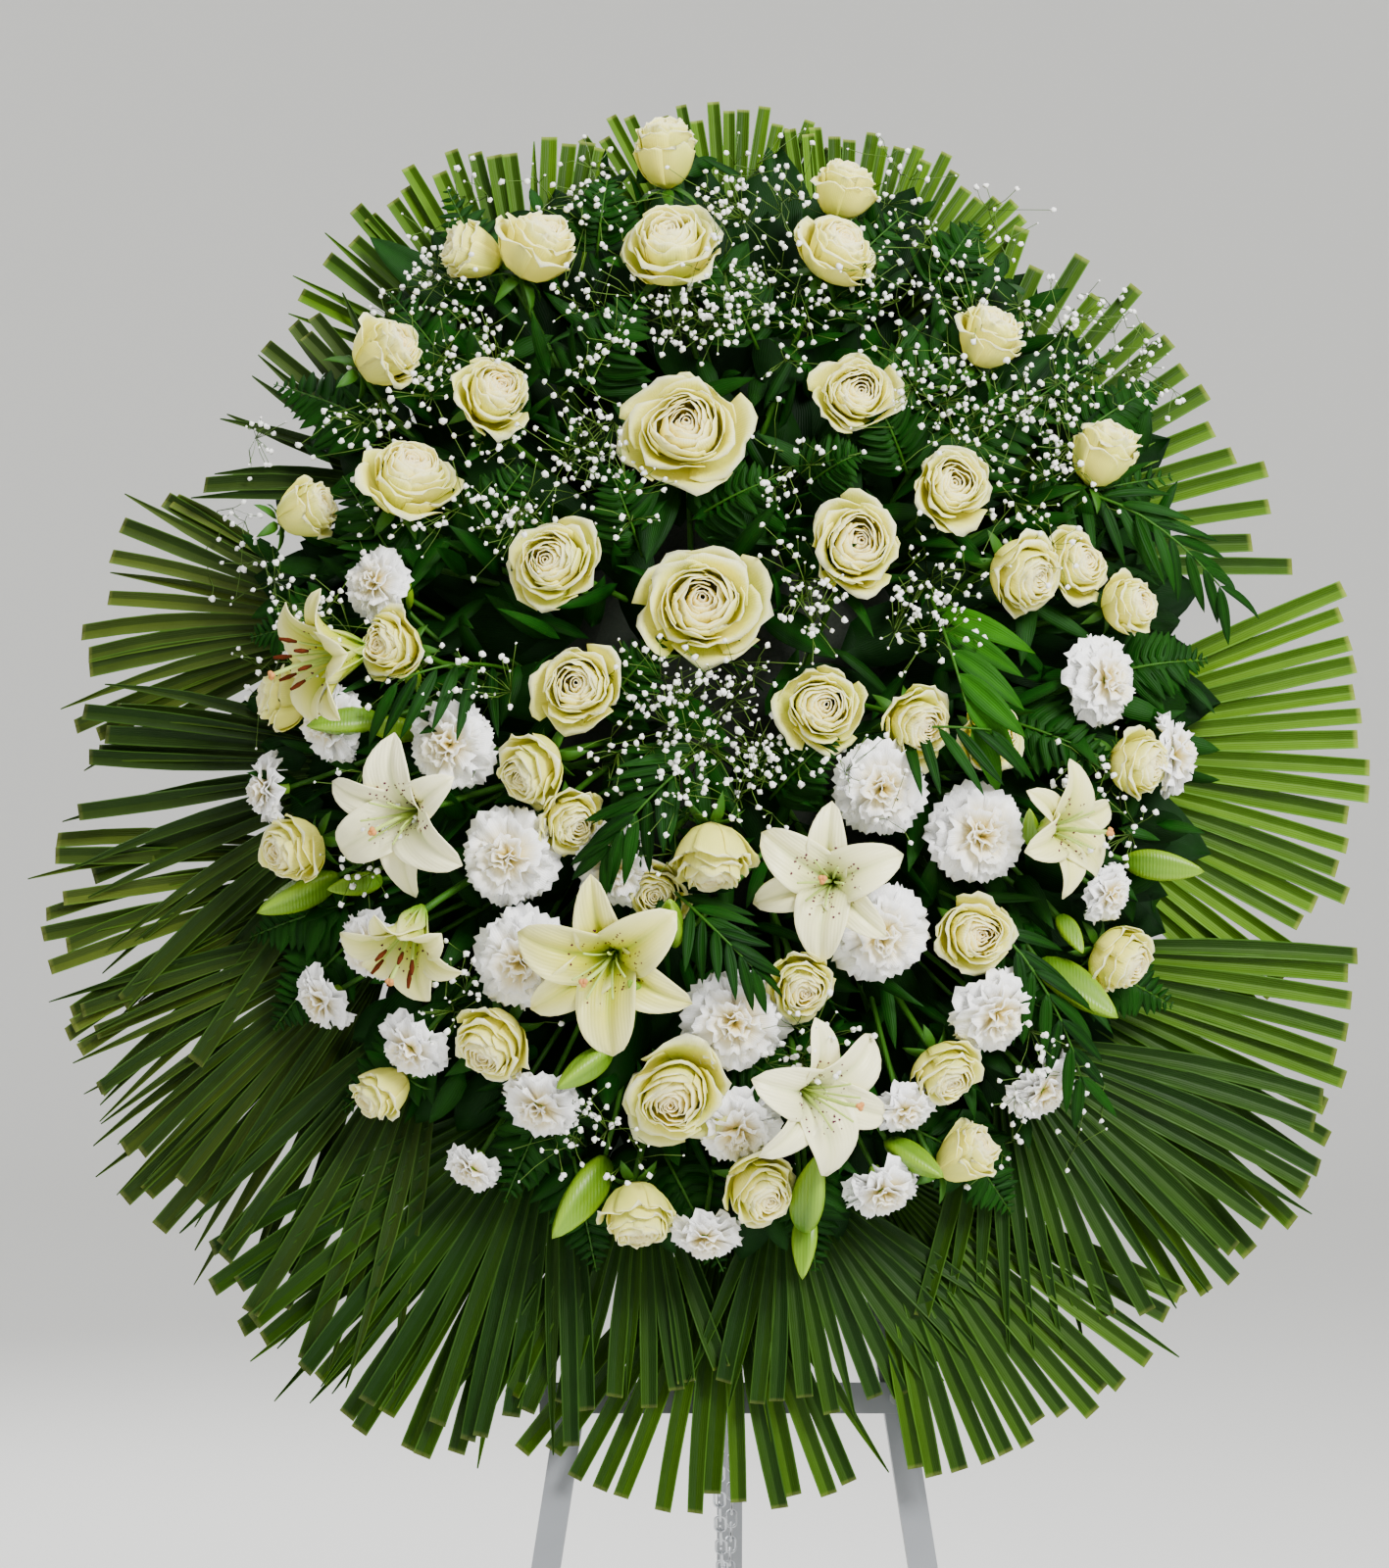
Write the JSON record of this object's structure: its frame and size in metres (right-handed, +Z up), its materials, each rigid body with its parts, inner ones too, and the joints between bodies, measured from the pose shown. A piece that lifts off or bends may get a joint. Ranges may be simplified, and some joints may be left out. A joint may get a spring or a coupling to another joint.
{
  "type": "funeral wreath",
  "caption": "Round domed funeral spray of cream roses, white carnations and lilies with palm fans, on a folding tripod tube easel.",
  "frame": {"origin": "middle of the underside of the whole object's box, on the floor", "axes": "+Z up, the flowers face -Y, +X to the viewer's right, the rear leg stands towards +Y"},
  "size_m": [1.1682, 0.903, 1.8403],
  "materials": {
    "easel_tube": "satin",
    "zinc_fitting": "satin",
    "foot_rubber": "matte",
    "board_plywood": "matte",
    "wet_foam": "matte",
    "rose_petal": "satin",
    "carnation_petal": "matte",
    "lily_petal": "satin",
    "palm_leaf": "satin",
    "dark_leaf": "satin",
    "babys_breath": "matte"
  },
  "bodies": {
    "front_frame": {"front_leg_left": "easel_tube", "crossbar_bolt_left": "zinc_fitting", "front_leg_right": "easel_tube", "crossbar_bolt_right": "zinc_fitting", "crossbar": "easel_tube", "top_bracket": "easel_tube", "hinge_pin": "zinc_fitting", "chain_eye_front": "zinc_fitting", "back_board": "board_plywood", "upper_strap": "zinc_fitting", "lower_strap": "zinc_fitting", "foam_block": "wet_foam", "rose_cluster_top": "rose_petal", "rose_cluster_top_left": "rose_petal", "rose_cluster_upper_left": "rose_petal", "rose_cluster_upper_right": "rose_petal", "rose_cluster_upper_middle": "rose_petal", "rose_cluster_middle": "rose_petal", "rose_cluster_right": "rose_petal", "rose_cluster_middle_left": "rose_petal", "rose_cluster_left": "rose_petal", "rose_cluster_right_side": "rose_petal", "rose_cluster_lower_middle": "rose_petal", "rose_cluster_lower_right": "rose_petal", "rose_cluster_bottom": "rose_petal", "rose_cluster_bottom_left": "rose_petal", "carnation_cluster_left": "carnation_petal", "carnation_cluster_middle_left": "carnation_petal", "carnation_cluster_lower_left": "carnation_petal", "carnation_cluster_bottom_left": "carnation_petal", "carnation_cluster_bottom": "carnation_petal", "carnation_cluster_middle_right": "carnation_petal", "carnation_cluster_right": "carnation_petal", "carnation_cluster_lower_right": "carnation_petal", "lily_stem_1": "lily_petal", "lily_stem_2": "lily_petal", "lily_stem_3": "lily_petal", "lily_stem_4": "lily_petal", "lily_stem_5": "lily_petal", "lily_stem_6": "lily_petal", "lily_stem_7": "lily_petal", "palm_fan_top": "palm_leaf", "palm_fan_top_right": "palm_leaf", "palm_fan_right_upper": "palm_leaf", "palm_fan_right": "palm_leaf", "palm_fan_right_lower": "palm_leaf", "palm_fan_bottom_right": "palm_leaf", "palm_fan_bottom": "palm_leaf", "palm_fan_bottom_left": "palm_leaf", "palm_fan_left_lower": "palm_leaf", "palm_fan_left": "palm_leaf", "palm_fan_left_upper": "palm_leaf", "palm_fan_top_left": "palm_leaf", "feather_frond_right": "dark_leaf", "foot_front_left": "foot_rubber", "foot_front_right": "foot_rubber", "chain": "zinc_fitting"},
    "rear_leg": {"rear_leg": "easel_tube", "foot_rear": "foot_rubber", "chain_eye_rear": "zinc_fitting"}
  },
  "joints": [
    {"name": "rear_leg_fold", "type": "hinge", "parent": "front_frame", "child": "rear_leg", "pos_m": [0.01884, -0.00991, 1.53485], "axis": [-1, 0, 0], "range_deg": [0, 24], "deforming": ["chain"]}
  ]
}
